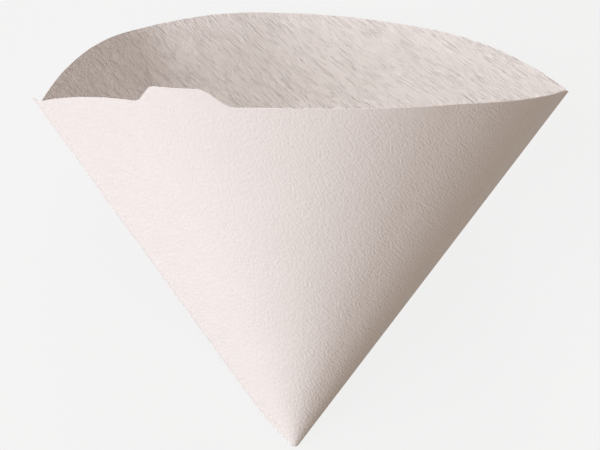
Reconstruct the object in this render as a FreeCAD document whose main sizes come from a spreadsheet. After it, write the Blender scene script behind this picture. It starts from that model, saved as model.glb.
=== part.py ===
import FreeCAD, Part
import math
import os
import Sketcher

# A cone-shaped paper coffee filter, opened for use: one paper, folded in two.
# The flat paper is a doubled quarter circle, creased along its right side and crimped along its left.
# Opened, each sheet is three flat stretches joined by two bends, and all straight lines run to the tip.
# The cone is drawn tip down around the Z axis and is laid on its rear sheet at the end.

doc = FreeCAD.newDocument("paper_coffee_filter")

# Driving sizes, in millimetres and degrees
driving_sizes = [
    ("side_length", 116.0, "tip to rim, along the paper"),
    ("paper_thickness", 0.25, "one layer of creped paper"),
    ("outline_height", 120.0, "height above the tip at which the outline is measured"),
    ("half_width", 88.0, "mid line to either crease, at the outline height"),
    ("front_left_angle", 52.0, "front sheet against the crease plane, at the seam"),
    ("front_right_angle", 58.0, "front sheet against the crease plane, at the right crease"),
    ("front_distance", 63.0, "mid line to the middle of the front sheet, at the outline height"),
    ("front_turn", 20.0, "middle of the front sheet against the crease plane"),
    ("front_left_reach", 24.0, "left bend of the front sheet, along the paper from the corner that it rounds"),
    ("front_right_reach", 12.0, "right bend of the front sheet, likewise"),
    ("rear_left_angle", 48.5, "rear sheet against the crease plane, at the seam"),
    ("rear_right_angle", 48.5, "rear sheet against the crease plane, at the right crease"),
    ("rear_distance", 60.5, "mid line to the flat middle of the rear sheet, at the outline height"),
    ("rear_turn", 8.5, "flat middle of the rear sheet against the crease plane"),
    ("rear_left_reach", 4.0, "left bend of the rear sheet, along the paper from the corner that it rounds"),
    ("rear_right_reach", 14.0, "right bend of the rear sheet, likewise"),
    ("tip_height", 1.2, "blunt end of the tip, above the point where the creases would meet"),
    ("tip_closed", 4.0, "height up to which the sheets are pressed together in the tip"),
    ("tab_place", 48.1, "left crease to the tab's middle, along the rim"),
    ("tab_foot_width", 25.4, "tab where it leaves the rim"),
    ("tab_top_width", 14.0, "tab at its top"),
    ("tab_height", 5.2, "tab above the rim"),
    ("tab_corner_radius", 2.5, "round corners at the tab's top"),
    ("tab_foot_radius", 6.0, "hollow curves at the tab's foot"),
    ("seam_width", 7.0, "crimped strip, from the left crease to its free edge"),
    ("seam_offset", 0.7, "middle of the strip, outside the left crease"),
    ("seam_root", 2.2, "plain margin of the strip, beside the crease"),
    ("seam_start", 4.5, "lower end of the strip, up the crease from where the creases would meet"),
    ("seam_tip_angle", 17.0, "slanted lower end of the strip, against the crease"),
    ("crimp_pitch", 2.55, "one whole zigzag of the crimp"),
    ("crimp_depth", 0.22, "height of a crimp tooth above the strip's middle"),
]

sheet = doc.addObject("Spreadsheet::Sheet", "Sizes")
for row, (alias, value, note) in enumerate(driving_sizes, start=1):
    sheet.set(f"A{row}", alias)
    sheet.set(f"B{row}", str(value))
    sheet.set(f"C{row}", note)
    sheet.setAlias(f"B{row}", alias)
doc.recompute()


def number(expression):
    return float(sheet.evalExpression(expression))


def size(alias):
    return number(f"Sizes.{alias}")


# Overruns of the cutting shapes, and of what they cut, past the paper's outline
cut_overrun = 2.0
tab_reach = 4.0
tab_depth = 8.0

# The least share of a flat stretch that its bends leave flat
flat_share = 0.04

tip = FreeCAD.Vector(0, 0, 0)
upward = FreeCAD.Vector(0, 0, 1)
rearward = FreeCAD.Vector(0, 1, 0)


def origin_part(body, role):
    return next(part for part in body.Origin.OriginFeatures if part.Role == role)


def meeting_point(point_a, angle_a, point_b, angle_b):
    # Where two lines cross, each given by a point and a direction in degrees
    ax, ay = math.cos(math.radians(angle_a)), math.sin(math.radians(angle_a))
    bx, by = math.cos(math.radians(angle_b)), math.sin(math.radians(angle_b))
    gap = point_b - point_a
    along = (gap.x * by - gap.y * bx) / (ax * by - ay * bx)
    return point_a + FreeCAD.Vector(ax, ay, 0) * along


# The outline has six corners: two creases, and two corners on each sheet that its bends round
def outline_corners():
    left = FreeCAD.Vector(-size("half_width"), 0, 0)
    right = FreeCAD.Vector(size("half_width"), 0, 0)
    corners = {"left_crease": left, "right_crease": right}
    for side, toward in (("front", -1), ("rear", 1)):
        turn = size(f"{side}_turn")
        middle = FreeCAD.Vector(-math.sin(math.radians(turn)), math.cos(math.radians(turn)), 0)
        middle = middle * toward * size(f"{side}_distance")
        corners[f"{side}_left"] = meeting_point(left, toward * size(f"{side}_left_angle"), middle, turn)
        corners[f"{side}_right"] = meeting_point(
            right, 180 - toward * size(f"{side}_right_angle"), middle, turn)
    return corners


# The paper as a chain of stretches, from the left crease along the front sheet and back along the rear one
# A stretch is swept by a straight line through the tip that turns about an axis through the tip:
# a flat one about its own inward normal, and a bend about the axis of a cone that touches both its flats
def paper_stretches():
    order = ["left_crease", "front_left", "front_right", "right_crease", "rear_right", "rear_left"]
    corners = outline_corners()
    lines = [(corners[name] + upward * size("outline_height")).normalize() for name in order]
    reaches = [0 if name.endswith("crease") else math.radians(size(f"{name}_reach")) for name in order]
    count = len(order)
    following = [(index + 1) % count for index in range(count)]
    normals = [lines[index].cross(lines[following[index]]).normalize() for index in range(count)]
    widths = [lines[index].getAngle(lines[following[index]]) for index in range(count)]

    # A bend is no larger than the flats beside it leave room for
    taken = [(reaches[index] + reaches[following[index]]) / widths[index] for index in range(count)]
    reaches = [reach / max(1, taken[index] / (1 - flat_share), taken[index - 1] / (1 - flat_share))
               for index, reach in enumerate(reaches)]

    stretches = []
    for index, name in enumerate(order):
        before, after, reach = normals[index - 1], normals[index], reaches[index]
        if reach > 0:
            start = turned(lines[index], before, -reach)
            end = turned(lines[index], after, reach)
            slope = start.dot(after) / (1 - before.dot(after))
            axis = (start + before * slope).normalize()
            turn = (start - axis * axis.dot(start)).getAngle(end - axis * axis.dot(end))
            stretches.append(Stretch(f"{name}_bend", start, before, axis, turn))
        flat_start = turned(lines[index], after, reach)
        flat_width = widths[index] - reach - reaches[following[index]]
        stretches.append(Stretch(f"{name}_flat", flat_start, after, after, flat_width))
    return stretches


def turned(vector, axis, angle):
    return FreeCAD.Rotation(axis, math.degrees(angle)).multVec(vector)


class Stretch:
    def __init__(self, name, start, normal, axis, turn):
        self.name, self.start, self.normal, self.axis, self.turn = name, start, normal, axis, turn
        self.slant = start.getAngle(axis)
        self.width = turn * math.sin(self.slant)

    # The line and the inward normal at an angle along the paper from where the stretch starts
    def at(self, angle):
        turn = self.turn * angle / self.width
        return turned(self.start, self.axis, turn), turned(self.normal, self.axis, turn)


# A closed sketch with every corner held by an expression for its X and Y
def corner_sketch(body, name, corners):
    sketch = body.newObject("Sketcher::SketchObject", name)
    sketch.AttachmentSupport = (origin_part(body, "XY_Plane"), "")
    sketch.MapMode = "FlatFace"
    points = [FreeCAD.Vector(number(across), number(up), 0) for across, up in corners]
    start, end, origin = 1, 2, (-1, 1)
    lines = sketch.addGeometry(
        [Part.LineSegment(point, points[(index + 1) % len(points)]) for index, point in enumerate(points)],
        False)
    for index, line in enumerate(lines):
        following = lines[(index + 1) % len(lines)]
        sketch.addConstraint(Sketcher.Constraint("Coincident", line, end, following, start))
    for line, point, corner in zip(lines, points, corners):
        for kind, distance, expression in (
                ("DistanceX", point.x, corner[0]),
                ("DistanceY", point.y, corner[1])):
            index = sketch.addConstraint(Sketcher.Constraint(kind, *origin, line, start, distance))
            sketch.setExpression(f"Constraints[{index}]", f"({expression}) * 1 mm")
    return sketch


# One stretch of paper: its section along its first line, revolved about the stretch's axis
# The section is drawn with X up the paper and Y inward, and the lean sets back its lower inner corner
def make_stretch(name, stretch, bottom, top, lean=0.0):
    body = doc.addObject("PartDesign::Body", name)
    layer = "Sizes.paper_thickness"
    sketch = corner_sketch(body, "paper_section", [
        (bottom, "0"),
        (top, "0"),
        (top, layer),
        (f"{bottom} + {layer} * {lean:.9f}", layer),
    ])
    sketch.AttachmentOffset = FreeCAD.Placement(tip, FreeCAD.Rotation(upward, -math.degrees(stretch.slant)))
    sweep = body.newObject("PartDesign::Revolution", "sweep")
    sweep.Profile = sketch
    sweep.ReferenceAxis = (origin_part(body, "X_Axis"), [""])
    sweep.Angle = math.degrees(stretch.turn)
    across = stretch.normal * math.cos(stretch.slant) - stretch.start * math.sin(stretch.slant)
    body.Placement = FreeCAD.Placement(
        tip, FreeCAD.Rotation(stretch.axis, across, stretch.axis.cross(across), "XYZ"))
    return body


# What is cut away at the tip: a block below the tip's blunt end
def make_blunt_cut():
    reach = size("tip_closed")
    block = doc.addObject("Part::Box", "blunt_cut")
    for side in ("Length", "Width", "Height"):
        block.setExpression(side, "2 * Sizes.tip_closed * 1 mm")
    block.Placement.Base = FreeCAD.Vector(-reach, -reach, size("tip_height") - 2 * reach)
    return block


# All the stretches, each with its lower end along its axis, so that no section crosses the axis
def make_cone(stretches):
    pieces = [make_stretch(stretch.name, stretch, "Sizes.tip_height", "Sizes.side_length",
                           1 / math.tan(stretch.slant)) for stretch in stretches]
    return cut("blunt_cone", fuse("open_cone", pieces + [make_tip(stretches)]), make_blunt_cut())


# The tip, where the sheets are pressed together: a pyramid whose sides lie within the walls
def make_tip(stretches):
    rise = upward * size("paper_thickness")
    lines = [line for stretch in stretches for line in (stretch.start, stretch.at(stretch.width / 2)[0])]
    top = [line * (size("tip_closed") / line.z) + rise for line in lines]
    faces = [Part.Face(Part.makePolygon([rise, after, before, rise]))
             for before, after in zip(top, top[1:] + top[:1])]
    faces.append(Part.Face(Part.makePolygon(top + top[:1])))
    pyramid = doc.addObject("Part::Feature", "pressed_tip")
    pyramid.Shape = Part.Solid(Part.Shell(faces))
    return pyramid


# A direction up the left crease, or out from it, plus a distance towards the rear
def along_crease(distance, outward, back=0.0):
    slant = math.hypot(size("half_width"), size("outline_height"))
    run, rise = size("half_width") / slant, size("outline_height") / slant
    return FreeCAD.Vector(-run * distance - rise * outward, back, rise * distance - run * outward)


# The crimp seen from the strip's free edge: teeth that stand out and in by turns
def crimp_side(outward):
    step = size("crimp_pitch") / 2
    teeth = math.ceil((size("side_length") + cut_overrun) / step)
    depth = size("crimp_depth")
    return [along_crease(index * step, outward + (depth if index % 2 == 0 else -depth))
            for index in range(teeth + 1)]


# Two layers crimped together across the strip's width
def make_crimped_band():
    outer = crimp_side(size("seam_offset") + size("paper_thickness"))
    inner = crimp_side(size("seam_offset") - size("paper_thickness"))
    wave = doc.addObject("Part::Feature", "crimp_wave")
    wave.Shape = Part.Face(Part.makePolygon(outer + inner[::-1] + outer[:1]))
    band = doc.addObject("Part::Extrusion", "crimped_band")
    band.Base = wave
    band.DirMode = "Custom"
    band.Dir = rearward
    band.Solid = True
    band.setExpression("LengthFwd", "Sizes.seam_width * 1 mm")
    return band


# The strip's plain margin: the front sheet runs on past the crease, then folds towards the rear
# Its section is drawn with X to the rear and Y out from the crease
def make_seam_root():
    body = doc.addObject("PartDesign::Body", "seam_root")
    slant = "sqrt(1 + (Sizes.half_width / Sizes.outline_height)^2)"
    front_slope = f"(tan(Sizes.front_left_angle) * {slant})"
    rear_slope = f"(tan(Sizes.rear_left_angle) * {slant})"
    outer_face = "(Sizes.seam_offset + Sizes.paper_thickness - Sizes.crimp_depth)"
    inner_face = "(Sizes.seam_offset - Sizes.paper_thickness)"
    layer = "Sizes.paper_thickness"
    sketch = corner_sketch(body, "root_section", [
        (f"-{layer} / 2 * {front_slope}", f"-{layer} / 2"),
        (layer, f"-{layer} / {rear_slope} - {layer} / 2 * sqrt(1 + 1 / {rear_slope}^2)"),
        ("Sizes.seam_root", inner_face),
        ("Sizes.seam_root", outer_face),
        (f"{outer_face} * {front_slope}", outer_face),
    ])
    pad = body.newObject("PartDesign::Pad", "root_length")
    pad.Profile = sketch
    pad.setExpression("Length", f"(Sizes.side_length + {cut_overrun}) * 1 mm")
    body.Placement = FreeCAD.Placement(
        tip, FreeCAD.Rotation(rearward, along_crease(0, 1), along_crease(1, 0), "ZXY"))
    return body


# The strip's lower end is cut on a slant, so that it stays clear of what the filter lies on
# Its section is drawn with X to the rear and Y down the crease
def make_seam_tip_cut():
    body = doc.addObject("PartDesign::Body", "seam_tip_cut")
    reach = f"(Sizes.seam_width + {cut_overrun})"
    sketch = corner_sketch(body, "tip_cut_section", [
        (f"-{cut_overrun}", f"-Sizes.seam_start + {cut_overrun} / tan(Sizes.seam_tip_angle)"),
        (f"-{cut_overrun}", f"{cut_overrun}"),
        (reach, f"{cut_overrun}"),
        (reach, f"-Sizes.seam_start - {reach} / tan(Sizes.seam_tip_angle)"),
    ])
    pad = body.newObject("PartDesign::Pad", "tip_cut_depth")
    pad.Profile = sketch
    pad.Midplane = True
    pad.setExpression("Length", f"2 * (Sizes.seam_offset + {cut_overrun}) * 1 mm")
    body.Placement = FreeCAD.Placement(
        tip, FreeCAD.Rotation(rearward, along_crease(-1, 0), along_crease(0, 1), "ZXY"))
    return body


# The seam's upper end is cut round, in line with the rim
def make_rim_ball():
    ball = doc.addObject("Part::Sphere", "rim_ball")
    ball.setExpression("Radius", "Sizes.side_length * 1 mm")
    ball.Placement.Rotation = FreeCAD.Rotation(
        FreeCAD.Vector(0, 0, -1), FreeCAD.Vector(-1, 0, 0), rearward, "ZXY")
    return ball


# The seam: the margin and the crimped band, cut off at both ends
def make_seam():
    strip = fuse("seam_strip", [make_crimped_band(), make_seam_root()])
    return common("seam", cut("seam_above_tip", strip, make_seam_tip_cut()), make_rim_ball())


# The tab's outline, standing on the rim of the front sheet
# Its section is drawn with X along the rim and Y up the paper from the tip
def make_tab_outline(line, normal):
    body = doc.addObject("PartDesign::Body", "tab_outline")
    foot, top = "Sizes.tab_foot_width / 2", "Sizes.tab_top_width / 2"
    run_out = f"({foot} + Sizes.tab_foot_radius)"
    rim = "sqrt(Sizes.side_length^2 - {0}^2)"
    right_side = [
        (run_out, f"Sizes.side_length - {tab_depth}"),
        (run_out, rim.format(run_out)),
        (foot, rim.format(f"({foot})")),
        (top, "Sizes.side_length + Sizes.tab_height"),
    ]
    left_side = [(f"-{across}", up) for across, up in reversed(right_side)]
    sketch = corner_sketch(body, "tab_section", right_side + left_side)
    pad = body.newObject("PartDesign::Pad", "tab_reach")
    pad.Profile = sketch
    pad.Midplane = True
    pad.Length = 2 * tab_reach
    doc.recompute()

    base = pad
    for name, across, radius in (
            ("tab_corners", size("tab_top_width") / 2, "tab_corner_radius"),
            ("tab_feet", size("tab_foot_width") / 2, "tab_foot_radius")):
        edges = [f"Edge{index}" for index, edge in enumerate(base.Shape.Edges, start=1)
                 if is_upright_at(edge, across)]
        rounding = body.newObject("PartDesign::Fillet", name)
        rounding.Base = (base, edges)
        rounding.setExpression("Radius", f"Sizes.{radius} * 1 mm")
        doc.recompute()
        base = rounding
    body.Placement = FreeCAD.Placement(
        tip, FreeCAD.Rotation(normal.cross(line), line, -normal, "YZX"))
    return body


# An edge through the tab's thickness, at a distance either side of its middle
def is_upright_at(edge, across):
    ends = [vertex.Point for vertex in edge.Vertexes]
    return len(ends) == 2 and abs(ends[0].z - ends[1].z) > tab_reach and all(
        abs(abs(end.x) - across) < 1e-4 for end in ends)


# The tab: the stretches under it, drawn on past the rim and cut to the tab's outline
def make_tab(stretches):
    middle = size("tab_place") / size("side_length")
    half_foot = (size("tab_foot_width") + size("tab_foot_radius")) / 2 / size("side_length")
    pieces = []
    begin = 0.0
    for stretch in stretches:
        if begin < middle + half_foot and begin + stretch.width > middle - half_foot:
            pieces.append(make_stretch(f"tab_on_{stretch.name}", stretch, "Sizes.side_length",
                                       f"Sizes.side_length + Sizes.tab_height + {cut_overrun}"))
        if begin <= middle < begin + stretch.width:
            line, normal = stretch.at(middle - begin)
        begin += stretch.width
    blank = pieces[0] if len(pieces) == 1 else fuse("tab_blank", pieces)
    return common("tab", blank, make_tab_outline(line, normal))


# The paper lies on the flat middle of its rear sheet, mouth towards +Y
def rest_placement(shape, stretches):
    up = next(stretch.normal for stretch in stretches if stretch.name == "rear_right_flat")
    mouth = upward - up * up.z
    turn = FreeCAD.Rotation(mouth.cross(up), mouth, up, "ZYX").inverted()
    laid = shape.copy()
    laid.Placement = FreeCAD.Placement(tip, turn)
    box = laid.optimalBoundingBox(False, False)
    return FreeCAD.Placement(FreeCAD.Vector(-box.Center.x, -box.Center.y, 0), turn)


def fuse(name, shapes):
    joined = doc.addObject("Part::MultiFuse", name)
    joined.Shapes = shapes
    return joined


def cut(name, base, tool):
    remainder = doc.addObject("Part::Cut", name)
    remainder.Base = base
    remainder.Tool = tool
    return remainder


def common(name, base, tool):
    shared = doc.addObject("Part::Common", name)
    shared.Base = base
    shared.Tool = tool
    return shared


stretches = paper_stretches()
paper = fuse("filter_paper", [make_cone(stretches), make_tab(stretches), make_seam()])
paper.Refine = True
doc.recompute()
paper.Placement = rest_placement(paper.Shape, stretches)
doc.recompute()

for obj in doc.Objects:
    if "Invalid" in obj.State or "Error" in obj.State:
        raise RuntimeError(f"{obj.Label} did not build: {obj.State}")
if paper.Shape.isNull() or not paper.Shape.isValid() or len(paper.Shape.Solids) != 1:
    raise RuntimeError(f"{paper.Label} is not one valid solid")

os.makedirs("parts", exist_ok=True)
paper.Shape.exportStep(f"parts/{paper.Label}.step")
box = paper.Shape.optimalBoundingBox(False, False)
print(f"{paper.Label}: {paper.Shape.Volume:.0f} mm3, {len(paper.Shape.Faces)} faces, "
      f"{box.XLength:.1f} x {box.YLength:.1f} x {box.ZLength:.1f} mm")
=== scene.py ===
import bpy
import math
from mathutils import Matrix, Quaternion, Vector, noise


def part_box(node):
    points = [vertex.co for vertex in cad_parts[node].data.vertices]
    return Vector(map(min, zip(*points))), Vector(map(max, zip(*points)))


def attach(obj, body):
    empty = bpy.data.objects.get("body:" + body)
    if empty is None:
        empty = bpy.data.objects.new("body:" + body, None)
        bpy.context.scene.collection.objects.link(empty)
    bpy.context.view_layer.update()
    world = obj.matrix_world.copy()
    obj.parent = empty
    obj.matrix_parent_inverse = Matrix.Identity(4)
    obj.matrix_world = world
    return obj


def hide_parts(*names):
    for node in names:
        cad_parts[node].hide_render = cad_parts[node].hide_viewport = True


# A cone-shaped paper coffee filter, opened and lying on its rear sheet.
# The flat paper is nearly a half disc, creased from middle to rim and crimped along its straight edge.
# It is drawn flat, crinkled, then folded tip down around the Z axis and laid down with its mouth towards +Y.

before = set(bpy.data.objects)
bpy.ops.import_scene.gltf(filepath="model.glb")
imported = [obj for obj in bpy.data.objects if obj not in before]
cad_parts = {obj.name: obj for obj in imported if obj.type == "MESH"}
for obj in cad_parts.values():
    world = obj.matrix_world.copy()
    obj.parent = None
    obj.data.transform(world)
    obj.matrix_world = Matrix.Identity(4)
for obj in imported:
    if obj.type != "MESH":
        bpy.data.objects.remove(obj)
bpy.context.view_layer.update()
print("frame loaded")


# Fold of the paper

paperFold = {  # metres and degrees, measured on the outline at outlineHeight above the tip
    "side": 0.116,
    "thickness": 0.00025,
    "outlineHeight": 0.120,
    "halfWidth": 0.088,
    "frontLeftAngle": 52.0,
    "frontRightAngle": 58.0,
    "frontDistance": 0.063,
    "frontTurn": 20.0,
    "frontLeftReach": 24.0,
    "frontRightReach": 12.0,
    "rearLeftAngle": 48.5,
    "rearRightAngle": 48.5,
    "rearDistance": 0.0605,
    "rearTurn": 8.5,
    "rearLeftReach": 4.0,
    "rearRightReach": 14.0,
    "flatShare": 0.04,  # of each sheet's flat, kept between two bends
    "tipHeight": 0.0012,
    "tipClosed": 0.004,
    "tipFloor": 0.88,  # height of the inner floor, as a share of tipClosed
}


def turned(vector, axis, angle):
    return Quaternion(axis, angle) @ vector


def meetingPoint(pointA, angleA, pointB, angleB):
    # where two lines cross, each given by a point and a direction in degrees
    ax, ay = math.cos(math.radians(angleA)), math.sin(math.radians(angleA))
    bx, by = math.cos(math.radians(angleB)), math.sin(math.radians(angleB))
    gap = pointB - pointA
    along = (gap.x * by - gap.y * bx) / (ax * by - ay * bx)
    return pointA + Vector((ax, ay, 0)) * along


def outlineCorners():
    left = Vector((-paperFold["halfWidth"], 0, 0))
    right = Vector((paperFold["halfWidth"], 0, 0))
    corners = {"left": left, "right": right}
    for sheet, toward in (("front", -1), ("rear", 1)):
        turnDegrees = paperFold[sheet + "Turn"]
        turn = math.radians(turnDegrees)
        middle = Vector((-math.sin(turn), math.cos(turn), 0)) * toward * paperFold[sheet + "Distance"]
        corners[sheet + "Left"] = meetingPoint(
            left, toward * paperFold[sheet + "LeftAngle"], middle, turnDegrees)
        corners[sheet + "Right"] = meetingPoint(
            right, 180 - toward * paperFold[sheet + "RightAngle"], middle, turnDegrees)
    return corners


def foldStretches():
    # Flats and bends in order around the cone, each swept by a line through the tip that turns about an axis.
    # A stretch holds that line where it starts, the way inward there, the axis, the turn and its width.
    order = ["left", "frontLeft", "frontRight", "right", "rearRight", "rearLeft"]
    corners = outlineCorners()
    lines = [(corners[name] + Vector((0, 0, paperFold["outlineHeight"]))).normalized() for name in order]
    reaches = [math.radians(paperFold.get(name + "Reach", 0)) for name in order]
    count = len(order)
    after = [(index + 1) % count for index in range(count)]
    normals = [lines[index].cross(lines[after[index]]).normalized() for index in range(count)]
    widths = [lines[index].angle(lines[after[index]]) for index in range(count)]
    taken = [(reaches[index] + reaches[after[index]]) / widths[index] / (1 - paperFold["flatShare"])
             for index in range(count)]
    reaches = [reach / max(1, taken[index], taken[index - 1]) for index, reach in enumerate(reaches)]
    stretches = []
    for index, reach in enumerate(reaches):
        line, before, behind = lines[index], normals[index - 1], normals[index]
        if reach > 0:
            start, end = turned(line, before, -reach), turned(line, behind, reach)
            axis = (start + before * (start.dot(behind) / (1 - before.dot(behind)))).normalized()
            turn = (start - axis * axis.dot(start)).angle(end - axis * axis.dot(end))
            stretches.append((start, before, axis, turn, turn * math.sin(start.angle(axis))))
        flatWidth = widths[index] - reach - reaches[after[index]]
        stretches.append((turned(line, behind, reach), behind, behind, flatWidth, flatWidth))
    return stretches


stretches = foldStretches()
frontStretches, rearStretches = stretches[:5], stretches[5:]  # each starts and ends with the flat at a crease
frontWidth = sum(stretch[4] for stretch in frontStretches)
rearWidth = sum(stretch[4] for stretch in rearStretches)
paperWidth = frontWidth + rearWidth
leftLine, leftFrontNormal = frontStretches[0][:2]
rightFrontNormal = frontStretches[-1][1]
rightLine, rightRearNormal = rearStretches[0][:2]
restNormal = rearStretches[2][1]
leftRearNormal = rearStretches[-1][1]


def mitred(normalA, normalB):
    return (normalA + normalB) / (1 + normalA.dot(normalB))


def foldedLine(angle):
    # the straight line from the tip at this angle along the flat paper, and the way to the inner face
    onCrease = 1e-6
    if abs(angle - frontWidth) < onCrease:
        return rightLine, mitred(rightFrontNormal, rightRearNormal)
    if onCrease <= angle <= paperWidth - onCrease:
        for start, normal, axis, turn, width in stretches:
            if angle <= width:
                return turned(start, axis, turn * angle / width), turned(normal, axis, turn * angle / width)
            angle -= width
    return leftLine, mitred(leftFrontNormal, leftRearNormal)


def makeRestPlace():
    # from the cone's own axes to the frame: the flat middle of the rear sheet lies on the floor
    mouthWay = (Vector((0, 0, 1)) - restNormal * restNormal.z).normalized()
    turn = Matrix((mouthWay.cross(restNormal), mouthWay, restNormal))
    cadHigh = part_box("filter_paper")[1]
    rimSteps = 720
    rim = [turn @ foldedLine(paperWidth * step / rimSteps)[0] * paperFold["side"]
           for step in range(rimSteps + 1)]
    farX, farY = max(point.x for point in rim), max(point.y for point in rim)
    return turn, Vector((cadHigh.x - farX, cadHigh.y - farY, 0))


layDown, tipPlace = makeRestPlace()


def laid(point):
    return layDown @ point + tipPlace


# Crepe of the paper

crepe = {
    "angle": 5.0,  # degrees between the ridges and the straight edge of the flat paper
    "edgeFade": 0.0012,  # the paper is smooth this near to its creases
    "cocklePitch": 0.017,
    "cockleHeight": 0.00011,
    "ridgeLength": 0.0042,
    "ridgePitch": 0.00085,
    "ridgeHeight": 0.000030,
    "ridgeMean": 0.55,
    "ridgeSharpness": 2.2,
    "ridgeWobble": (0.009, 0.004, 0.0006),  # pitch along and across, sway
    "fineLength": 0.0021,
    "finePitch": 0.00052,
    "fineShare": 0.5,
    "innerLength": 0.0070,
    "innerPitch": 0.00125,
    "innerHeight": 0.00019,
    "innerMean": 0.6,
    "innerSharpness": 2.4,
    "innerWobble": (0.004, 0.002, 0.0005),
    "patchPitch": 0.008,
    "patchMean": 0.7,
    "patchChange": 0.6,
}


def softStep(value):
    value = min(max(value, 0), 1)
    return value * value * (3 - 2 * value)


def waver(x, y, pitchX, pitchY, seed):
    # smooth noise from -1 to 1, with its own pitch each way
    return noise.noise(Vector((x / pitchX, y / pitchY, seed)))


def alongCrepe(flatX, flatY):
    turn = math.radians(crepe["angle"])
    return (flatX * math.cos(turn) + flatY * math.sin(turn),
            flatY * math.cos(turn) - flatX * math.sin(turn))


def crepeHeight(flatX, flatY):
    # outward, and the same on both faces
    along, across = alongCrepe(flatX, flatY)
    wobbleX, wobbleY, sway = crepe["ridgeWobble"]
    wobble = waver(flatX, flatY, wobbleX, wobbleY, 5.1) * sway
    ridges = waver(along, across + wobble, crepe["ridgeLength"], crepe["ridgePitch"], 0.3)
    fine = waver(along, across, crepe["fineLength"], crepe["finePitch"], 7.9)
    cockle = waver(flatX, flatY, crepe["cocklePitch"], crepe["cocklePitch"], 1.5)
    relief = crepe["ridgeMean"] - crepe["ridgeSharpness"] * abs(ridges) + crepe["fineShare"] * fine
    return relief * crepe["ridgeHeight"] + cockle * crepe["cockleHeight"]


def innerCrepeDepth(flatX, flatY):
    # the face inside the cone has the longer and deeper wrinkles
    along, across = alongCrepe(flatX, flatY)
    wobbleX, wobbleY, sway = crepe["innerWobble"]
    wobble = waver(along, across, wobbleX, wobbleY, 8.4) * sway
    wrinkles = waver(along, across + wobble, crepe["innerLength"], crepe["innerPitch"], 4.6)
    patches = waver(flatX, flatY, crepe["patchPitch"], crepe["patchPitch"], 6.2)
    relief = max(crepe["innerMean"] - crepe["innerSharpness"] * abs(wrinkles), 0)
    return relief * (crepe["patchMean"] + crepe["patchChange"] * patches) * crepe["innerHeight"]


# Sheet with its tab

flatSheet = {
    "columns": 164,
    "rows": 330,  # finer than the columns, since the rows run along the ridges
    "finerAtTip": 0.35,  # the middle columns' width, as a share of an even one
    "rimSnap": 0.00012,
    "tabPlace": 0.0481,  # along the rim from the left crease
    "tabFoot": 0.0254,
    "tabTop": 0.0140,
    "tabHeight": 0.0052,
    "tabRound": 0.0045,
    "rimWander": 0.00007,
    "rimWanderPitch": 0.006,
    "mergeReach": 1e-7,
    "mapShare": 4.0,  # of the UV map, for each metre of flat paper
    "mapStart": (0.5, 0.1),
    "smoothBelow": 50.0,  # degrees
}


def smoothLeast(first, second, spread):
    # the smaller of two values, rounded where they cross
    mix = min(max(0.5 + (second - first) / (2 * spread), 0), 1)
    return second * (1 - mix) + first * mix - spread * mix * (1 - mix) / 2


def tabHeightAt(along):
    # the tab's outline: slanted sides with round corners, hollow at the foot
    fromMiddle = abs(along - flatSheet["tabPlace"])
    slope = flatSheet["tabHeight"] / (flatSheet["tabFoot"] - flatSheet["tabTop"]) * 2
    straight = (flatSheet["tabFoot"] / 2 - fromMiddle) * slope
    spread = flatSheet["tabRound"] * slope / 2
    height = smoothLeast(straight, flatSheet["tabHeight"], spread)
    return -smoothLeast(-height, 0, spread)


def rimRadius(angle):
    along = angle * paperFold["side"]
    wander = noise.noise(Vector((along / flatSheet["rimWanderPitch"], 3.7, 0)))
    return paperFold["side"] + tabHeightAt(along) + wander * flatSheet["rimWander"]


def flatAngle(across, up):
    # the grid's quarter turns are opened out to the true widths of the two sheets
    quarter = math.pi / 2
    angle = math.atan2(up, across)
    if angle <= quarter:
        return angle * frontWidth / quarter
    return frontWidth + (angle - quarter) * rearWidth / quarter


def foldedPoint(radius, angle, depth):
    line, inward = foldedLine(angle)
    flatX, flatY = radius * math.cos(angle), radius * math.sin(angle)
    fromCrease = radius * min(abs(angle), abs(angle - frontWidth), abs(paperWidth - angle))
    height = crepeHeight(flatX, flatY)
    if depth > 0:
        height += innerCrepeDepth(flatX, flatY)
    height *= softStep(fromCrease / crepe["edgeFade"])
    point = line * radius - inward * (height - depth)
    closed = paperFold["tipClosed"]
    if depth == 0:
        point.z = max(point.z, paperFold["tipHeight"])
    elif radius < closed:
        # the inner face ends in a floor, where the sheets are pressed together
        middle = Vector((0, 0, paperFold["tipFloor"] * closed))
        point = middle.lerp(line * closed + inward * depth, radius / closed)
    point = laid(point)
    point.z = max(point.z, depth)
    return point


def flatMap(mesh, places):
    # each face corner keeps its place on the flat paper, as the crepe runs along it
    layer = mesh.uv_layers[0] if mesh.uv_layers else mesh.uv_layers.new()
    layer.name = "flatPaper"
    startX, startY = flatSheet["mapStart"]
    share = flatSheet["mapShare"]
    for loop in mesh.loops:
        flatX, flatY = places[loop.vertex_index]
        layer.data[loop.index].uv = (startX + flatX * share, startY + flatY * share)


def finishMesh():
    bpy.ops.object.mode_set(mode="EDIT")
    bpy.ops.mesh.select_all(action="SELECT")
    bpy.ops.mesh.normals_make_consistent(inside=False)
    bpy.ops.object.mode_set(mode="OBJECT")
    bpy.ops.object.shade_smooth_by_angle(angle=math.radians(flatSheet["smoothBelow"]))


def flatPlaces(mesh):
    return [item.vector.copy() for item in mesh.attributes["flatPlace"].data]


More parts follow.
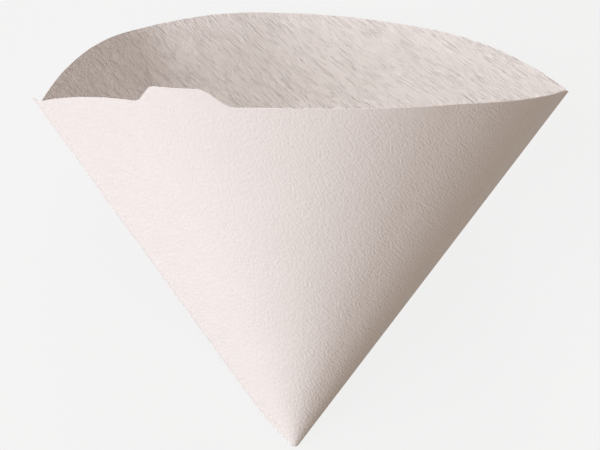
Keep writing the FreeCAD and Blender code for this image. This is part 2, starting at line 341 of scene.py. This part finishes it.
def makePaper():
    bpy.ops.object.select_all(action="DESELECT")
    bpy.ops.mesh.primitive_grid_add(
        x_subdivisions=flatSheet["columns"], y_subdivisions=flatSheet["rows"], size=2)
    paper = bpy.context.object
    paper.name = "filterPaper"
    mesh = paper.data
    mesh.name = "filterPaper"

    # what lies past the rim is cut off, and the corners left over it are drawn onto the rim
    finer = flatSheet["finerAtTip"]
    attribute = mesh.attributes.new("flatPlace", "FLOAT2", "POINT")
    outside = []
    for vertex, item in zip(mesh.vertices, attribute.data):
        u = vertex.co.x
        across = paperFold["side"] * u * (finer + (1 - finer) * math.sqrt(abs(u)))
        up = paperFold["side"] * (vertex.co.y + 1) / 2
        radius, angle = math.hypot(across, up), flatAngle(across, up)
        rim = rimRadius(angle)
        outside.append(radius > rim - flatSheet["rimSnap"])
        item.vector = (rim if outside[-1] else radius, angle)
    bpy.ops.object.mode_set(mode="EDIT")
    bpy.ops.mesh.select_mode(type="FACE")
    bpy.ops.mesh.select_all(action="DESELECT")
    bpy.ops.object.mode_set(mode="OBJECT")
    for polygon in mesh.polygons:
        polygon.select = all(outside[index] for index in polygon.vertices)
    bpy.ops.object.mode_set(mode="EDIT")
    bpy.ops.mesh.delete(type="FACE")
    bpy.ops.mesh.select_mode(type="VERT")
    bpy.ops.object.mode_set(mode="OBJECT")
    print("flat paper cut:", len(mesh.polygons), "faces")

    # fold the outer face, and close it along the left crease
    places = flatPlaces(mesh)
    flatMap(mesh, [(radius * math.cos(angle), radius * math.sin(angle)) for radius, angle in places])
    for vertex, (radius, angle) in zip(mesh.vertices, places):
        vertex.co = foldedPoint(radius, angle, 0)
    bpy.ops.object.mode_set(mode="EDIT")
    bpy.ops.mesh.select_all(action="SELECT")
    bpy.ops.mesh.remove_doubles(threshold=flatSheet["mergeReach"])
    bpy.ops.object.mode_set(mode="OBJECT")

    # the wall adds its points after those of the outer face, and they are then set on the inner face
    outerCount = len(mesh.vertices)
    wall = paper.modifiers.new("wall", "SOLIDIFY")
    wall.thickness = paperFold["thickness"]
    wall.offset = -1
    bpy.ops.object.modifier_apply(modifier="wall")
    mesh = paper.data
    places = flatPlaces(mesh)
    innerFace = mesh.attributes.new("innerFace", "FLOAT", "POINT")
    for index in range(outerCount, len(mesh.vertices)):
        radius, angle = places[index]
        mesh.vertices[index].co = foldedPoint(radius, angle, paperFold["thickness"])
        innerFace.data[index].value = 1
    mesh.attributes.remove(mesh.attributes["flatPlace"])
    finishMesh()
    print("paper folded:", len(mesh.polygons), "faces")
    return paper


# Crimped seam

seamStrip = {
    "width": 0.0070,
    "layers": 0.0005,
    "foot": -0.00027,  # the middle of the strip, out from the crease
    "offset": 0.0007,
    "root": 0.0020,
    "plainMargin": 0.0021,
    "gripReach": 0.0006,
    "crimpPitch": 0.00255,
    "crimpDepth": 0.00020,
    "crimpSquareness": 0.7,
    "crinkle": (0.003, 0.0009, 0.00003),  # pitch along and across, height
    "start": 0.0045,
    "tipAngle": 17.0,
    "stepsPerCrimp": 8,
    "stepsAcross": 14,
}


def seamOffset(along, across):
    # out from the left crease: a smooth bend, a plain margin, then the teeth of the crimp
    bend = 1 - min(across / seamStrip["root"], 1)
    grip = softStep((across - seamStrip["plainMargin"]) / seamStrip["gripReach"])
    tooth = math.sin(2 * math.pi * along / seamStrip["crimpPitch"])
    tooth = math.copysign(abs(tooth) ** seamStrip["crimpSquareness"], tooth)
    pitchAlong, pitchAcross, height = seamStrip["crinkle"]
    crinkle = waver(along, across, pitchAlong, pitchAcross, 2.2) * height
    out = seamStrip["offset"] - (seamStrip["offset"] - seamStrip["foot"]) * bend * bend
    return out + grip * tooth * seamStrip["crimpDepth"] + crinkle


def makeSeam():
    bpy.ops.object.select_all(action="DESELECT")
    stepsAlong = round(paperFold["side"] / seamStrip["crimpPitch"] * seamStrip["stepsPerCrimp"])
    bpy.ops.mesh.primitive_grid_add(
        x_subdivisions=stepsAlong, y_subdivisions=seamStrip["stepsAcross"], size=2)
    seam = bpy.context.object
    seam.name = "crimpedSeam"
    seam.data.name = "crimpedSeam"

    # still flat: X up the crease, Y from the crease to the free edge
    for vertex in seam.data.vertices:
        across = seamStrip["width"] * (vertex.co.y + 1) / 2
        top = math.sqrt(paperFold["side"] ** 2 - across ** 2)
        vertex.co = Vector((top * (vertex.co.x + 1) / 2, across, 0))
    slant = math.radians(seamStrip["tipAngle"])
    bpy.ops.object.mode_set(mode="EDIT")
    bpy.ops.mesh.select_all(action="SELECT")
    bpy.ops.mesh.bisect(
        plane_co=(seamStrip["start"], 0, 0),
        plane_no=(math.sin(slant), -math.cos(slant), 0),
        clear_inner=True)
    bpy.ops.object.mode_set(mode="OBJECT")
    flatMap(seam.data, [(vertex.co.x, -vertex.co.y) for vertex in seam.data.vertices])

    # turned to the rear and crimped
    outward = Vector((-leftLine.z, 0, leftLine.x))
    for vertex in seam.data.vertices:
        along, across, _ = vertex.co
        vertex.co = laid(leftLine * along + Vector((0, across, 0)) + outward * seamOffset(along, across))
    wall = seam.modifiers.new("layers", "SOLIDIFY")
    wall.thickness = seamStrip["layers"]
    wall.offset = 0
    bpy.ops.object.modifier_apply(modifier="layers")
    finishMesh()
    print("seam crimped:", len(seam.data.polygons), "faces")
    return seam


# Paper's finish

paperLook = {  # lengths in millimetres, heights in metres
    "colour": (0.870, 0.820, 0.800),
    "mottle": (0.845, 0.795, 0.770),
    "mottleLength": 6.0,
    "mottleWidth": 3.0,
    "wrinkleLength": 7.5,
    "wrinkleWidth": 0.75,
    "wrinkleHeight": 0.0011,
    "fibreLength": 1.3,
    "fibreWidth": 0.45,
    "fibreHeight": 0.00008,
    "speckLength": 1.0,
    "speckWidth": 0.6,
    "speckHeight": 0.00016,
    "roughness": 0.93,
    "specular": 0.25,
    "sheen": 0.08,
}


def link(tree, fromNode, fromSocket, toNode, toSocket):
    tree.links.new(fromNode.outputs[fromSocket], toNode.inputs[toSocket])


def crepeMap(tree):
    # one unit of the pattern is a millimetre of flat paper, with X along the ridges
    place = tree.nodes.new("ShaderNodeUVMap")
    place.uv_map = "flatPaper"
    scale = 1000 / flatSheet["mapShare"]
    millimetres = tree.nodes.new("ShaderNodeMapping")
    millimetres.inputs["Scale"].default_value = (scale, scale, 1)
    millimetres.inputs["Rotation"].default_value = (0, 0, -math.radians(crepe["angle"]))
    link(tree, place, "UV", millimetres, "Vector")
    return millimetres


def stretchedNoise(tree, source, name, detail):
    squeeze = tree.nodes.new("ShaderNodeMapping")
    squeeze.inputs["Scale"].default_value = (
        1 / paperLook[name + "Length"], 1 / paperLook[name + "Width"], 1)
    link(tree, source, "Vector", squeeze, "Vector")
    pattern = tree.nodes.new("ShaderNodeTexNoise")
    pattern.noise_dimensions = "2D"
    pattern.inputs["Scale"].default_value = 1
    pattern.inputs["Detail"].default_value = detail
    link(tree, squeeze, "Vector", pattern, "Vector")
    return pattern


def addBump(tree, pattern, socket, height, below):
    bump = tree.nodes.new("ShaderNodeBump")
    bump.inputs["Strength"].default_value = 1
    bump.inputs["Distance"].default_value = height
    link(tree, pattern, socket, bump, "Height")
    if below:
        link(tree, below, "Normal", bump, "Normal")
    return bump


def creaseLines(tree, pattern):
    # thin lines where the long noise crosses its middle value
    fromMiddle = tree.nodes.new("ShaderNodeMath")
    fromMiddle.operation = "SUBTRACT"
    fromMiddle.inputs[1].default_value = 0.5
    link(tree, pattern, "Fac", fromMiddle, 0)
    creases = tree.nodes.new("ShaderNodeMath")
    creases.operation = "ABSOLUTE"
    link(tree, fromMiddle, "Value", creases, 0)
    return creases


def makeCrepedPaper():
    material = bpy.data.materials.new("crepedPaper")
    material.use_nodes = True
    tree = material.node_tree
    shader = tree.nodes["Principled BSDF"]
    shader.inputs["Roughness"].default_value = paperLook["roughness"]
    shader.inputs["Specular IOR Level"].default_value = paperLook["specular"]
    shader.inputs["Sheen Weight"].default_value = paperLook["sheen"]
    source = crepeMap(tree)

    tint = tree.nodes.new("ShaderNodeMix")
    tint.data_type = "RGBA"
    tint.inputs[6].default_value = (*paperLook["mottle"], 1)
    tint.inputs[7].default_value = (*paperLook["colour"], 1)
    link(tree, stretchedNoise(tree, source, "mottle", 3), "Fac", tint, 0)
    link(tree, tint, 2, shader, "Base Color")

    fibres = stretchedNoise(tree, source, "fibre", 2)
    specks = stretchedNoise(tree, source, "speck", 2)
    creases = creaseLines(tree, stretchedNoise(tree, source, "wrinkle", 2))
    fibreBump = addBump(tree, fibres, "Fac", paperLook["fibreHeight"], None)
    speckBump = addBump(tree, specks, "Fac", paperLook["speckHeight"], fibreBump)
    creaseBump = addBump(tree, creases, "Value", paperLook["wrinkleHeight"], speckBump)
    innerFace = tree.nodes.new("ShaderNodeAttribute")
    innerFace.attribute_name = "innerFace"
    link(tree, innerFace, "Fac", creaseBump, "Strength")
    link(tree, creaseBump, "Normal", shader, "Normal")
    return material


# Camera

cameraView = {  # from the tip of the upright cone
    "distance": 1.392,
    "yaw": 13.98,
    "elevation": 14.71,
    "roll": 2.19,
    "focalPixels": 5417.0,
    "tipPixel": (294.2, 450.4),
    "pictureSize": (600, 450),
    "sensor": 36.0,
    "farEnd": 20.0,
}


def cameraAxes():
    elevation, roll = math.radians(cameraView["elevation"]), math.radians(cameraView["roll"])
    level = Vector((1, 0, 0))
    upright = Vector((0, math.sin(elevation), math.cos(elevation)))
    back = Vector((0, -math.cos(elevation), math.sin(elevation)))
    right = level * math.cos(roll) + upright * math.sin(roll)
    up = upright * math.cos(roll) - level * math.sin(roll)
    turn = Matrix.Rotation(-math.radians(cameraView["yaw"]), 3, "Z")
    return [layDown @ (turn @ axis) for axis in (right, up, back)]


def makeCamera(right, up, back):
    width, height = cameraView["pictureSize"]
    tipX, tipY = cameraView["tipPixel"]
    tipAcross = (tipX - width / 2) / cameraView["focalPixels"]
    tipDown = (tipY - height / 2) / cameraView["focalPixels"]
    place = tipPlace + (back - right * tipAcross + up * tipDown) * cameraView["distance"]
    bpy.ops.object.camera_add()
    camera = bpy.context.object
    camera.name = "camera"
    camera.data.sensor_width = cameraView["sensor"]
    camera.data.lens = cameraView["focalPixels"] / width * cameraView["sensor"]
    camera.data.clip_end = cameraView["farEnd"]
    camera.matrix_world = Matrix.Translation(place) @ Matrix((right, up, back)).transposed().to_4x4()
    bpy.context.scene.camera = camera


# Studio

studio = {
    "lamps": {  # each lamp's way is to the right, up and back from the camera
        "key": {"way": (-0.594, -0.256, 0.762), "strength": 1.74, "colour": (0.87, 0.90, 1.0)},
        "side": {"way": (-0.600, 0.200, 0.770), "strength": 1.20, "colour": (0.93, 0.98, 1.0)},
        "top": {"way": (0.000, 0.900, 0.430), "strength": 1.15, "colour": (0.92, 0.92, 1.0)},
    },
    "lampSpread": 25.0,
    "fillColour": (1.0, 0.79, 0.59),
    "fillStrength": 0.315,
    "background": 0.940,
    "floorSize": 8.0,
    "floorShare": 0.10,  # how much of the floor's own light the camera sees, and so of the shadow
    "floorColour": (0.62, 0.61, 0.60),
}


def paleColour():
    return (studio["background"],) * 3 + (1,)


def makeLamps(right, up, back):
    for name, choice in studio["lamps"].items():
        across, rise, near = choice["way"]
        bpy.ops.object.light_add(type="SUN")
        lamp = bpy.context.object
        lamp.name = name
        lamp.data.energy = choice["strength"]
        lamp.data.color = choice["colour"]
        lamp.data.angle = math.radians(studio["lampSpread"])
        lamp.rotation_mode = "QUATERNION"
        lamp.rotation_quaternion = (right * across + up * rise + back * near).to_track_quat("Z", "Y")


def backgroundRays(tree):
    # 1 for rays from the camera, and for those that metal or glass sends on
    rays = tree.nodes.new("ShaderNodeLightPath")
    found = rays.outputs["Is Camera Ray"]
    for kind in ("Is Glossy Ray", "Is Transmission Ray"):
        either = tree.nodes.new("ShaderNodeMath")
        either.operation = "MAXIMUM"
        tree.links.new(found, either.inputs[0])
        tree.links.new(rays.outputs[kind], either.inputs[1])
        found = either.outputs["Value"]
    return found


def makeFill():
    # a warm fill, which the camera sees as the pale background
    world = bpy.data.worlds.new("studio")
    bpy.context.scene.world = world
    world.use_nodes = True
    tree = world.node_tree
    fill = tree.nodes["Background"]
    fill.inputs["Color"].default_value = (*studio["fillColour"], 1)
    fill.inputs["Strength"].default_value = studio["fillStrength"]
    pale = tree.nodes.new("ShaderNodeBackground")
    pale.inputs["Color"].default_value = paleColour()
    choose = tree.nodes.new("ShaderNodeMixShader")
    tree.links.new(backgroundRays(tree), choose.inputs[0])
    link(tree, fill, "Background", choose, 1)
    link(tree, pale, "Background", choose, 2)
    link(tree, choose, "Shader", tree.nodes["World Output"], "Surface")


def makeFloor():
    bpy.ops.mesh.primitive_plane_add(size=studio["floorSize"])
    floor = bpy.context.object
    floor.name = "floor"
    material = bpy.data.materials.new("paleFloor")
    material.use_nodes = True
    tree = material.node_tree
    tree.nodes.remove(tree.nodes["Principled BSDF"])
    matt = tree.nodes.new("ShaderNodeBsdfDiffuse")
    matt.inputs["Color"].default_value = (*studio["floorColour"], 1)
    pale = tree.nodes.new("ShaderNodeEmission")
    pale.inputs["Color"].default_value = paleColour()
    share = tree.nodes.new("ShaderNodeMath")
    share.operation = "MULTIPLY"
    share.inputs[1].default_value = 1 - studio["floorShare"]
    choose = tree.nodes.new("ShaderNodeMixShader")
    tree.links.new(backgroundRays(tree), share.inputs[0])
    link(tree, share, "Value", choose, 0)
    link(tree, matt, "BSDF", choose, 1)
    link(tree, pale, "Emission", choose, 2)
    link(tree, choose, "Shader", tree.nodes["Material Output"], "Surface")
    floor.data.materials.append(material)


# The whole scene

paper = makePaper()
seam = makeSeam()
crepedPaper = makeCrepedPaper()
for piece in (paper, seam):
    piece.data.materials.append(crepedPaper)
    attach(piece, "root")
    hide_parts("filter_paper")
viewAxes = cameraAxes()
makeCamera(*viewAxes)
makeLamps(*viewAxes)
makeFill()
makeFloor()
bpy.context.scene.view_settings.view_transform = "Standard"
print("studio ready")
